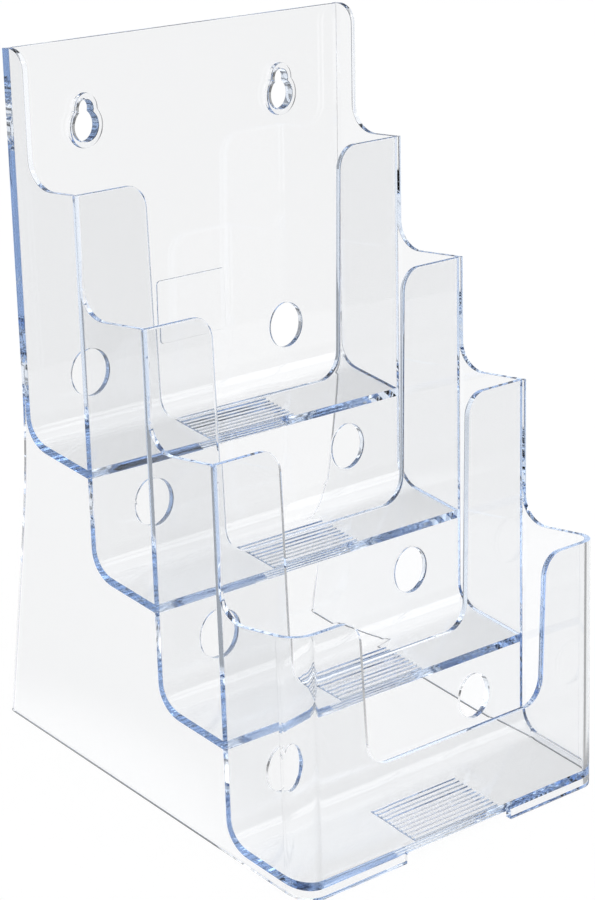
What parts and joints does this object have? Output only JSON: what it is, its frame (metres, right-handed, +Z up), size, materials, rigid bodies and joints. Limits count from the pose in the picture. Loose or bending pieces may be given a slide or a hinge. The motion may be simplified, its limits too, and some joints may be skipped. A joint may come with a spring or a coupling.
{
  "type": "brochure rack",
  "caption": "Clear tiered brochure rack: stepped pockets leaning back between two side walls, with keyholes in the back panel for wall hanging.",
  "frame": {"origin": "centre of the bounding box's underside, at table level", "axes": "+Z up, the rack's front faces -Y, +X to the right of someone facing the front"},
  "size_m": [0.1792, 0.21, 0.255],
  "materials": {
    "clear_plastic": "clear, polished, faint blue at the edges"
  },
  "bodies": {
    "root": {"left_side_wall": "clear_plastic", "right_side_wall": "clear_plastic", "tier_1_back_and_floor": "clear_plastic", "tier_2_back_and_floor": "clear_plastic", "tier_3_back_and_floor": "clear_plastic", "tier_4_back_and_floor": "clear_plastic", "front_panel": "clear_plastic", "left_keyhole_rim": "clear_plastic", "right_keyhole_rim": "clear_plastic", "tier_1_rib_pad": "clear_plastic", "tier_2_rib_pad": "clear_plastic", "tier_3_rib_pad": "clear_plastic", "tier_4_rib_pad": "clear_plastic", "blank_label_plate": "clear_plastic"}
  },
  "joints": []
}
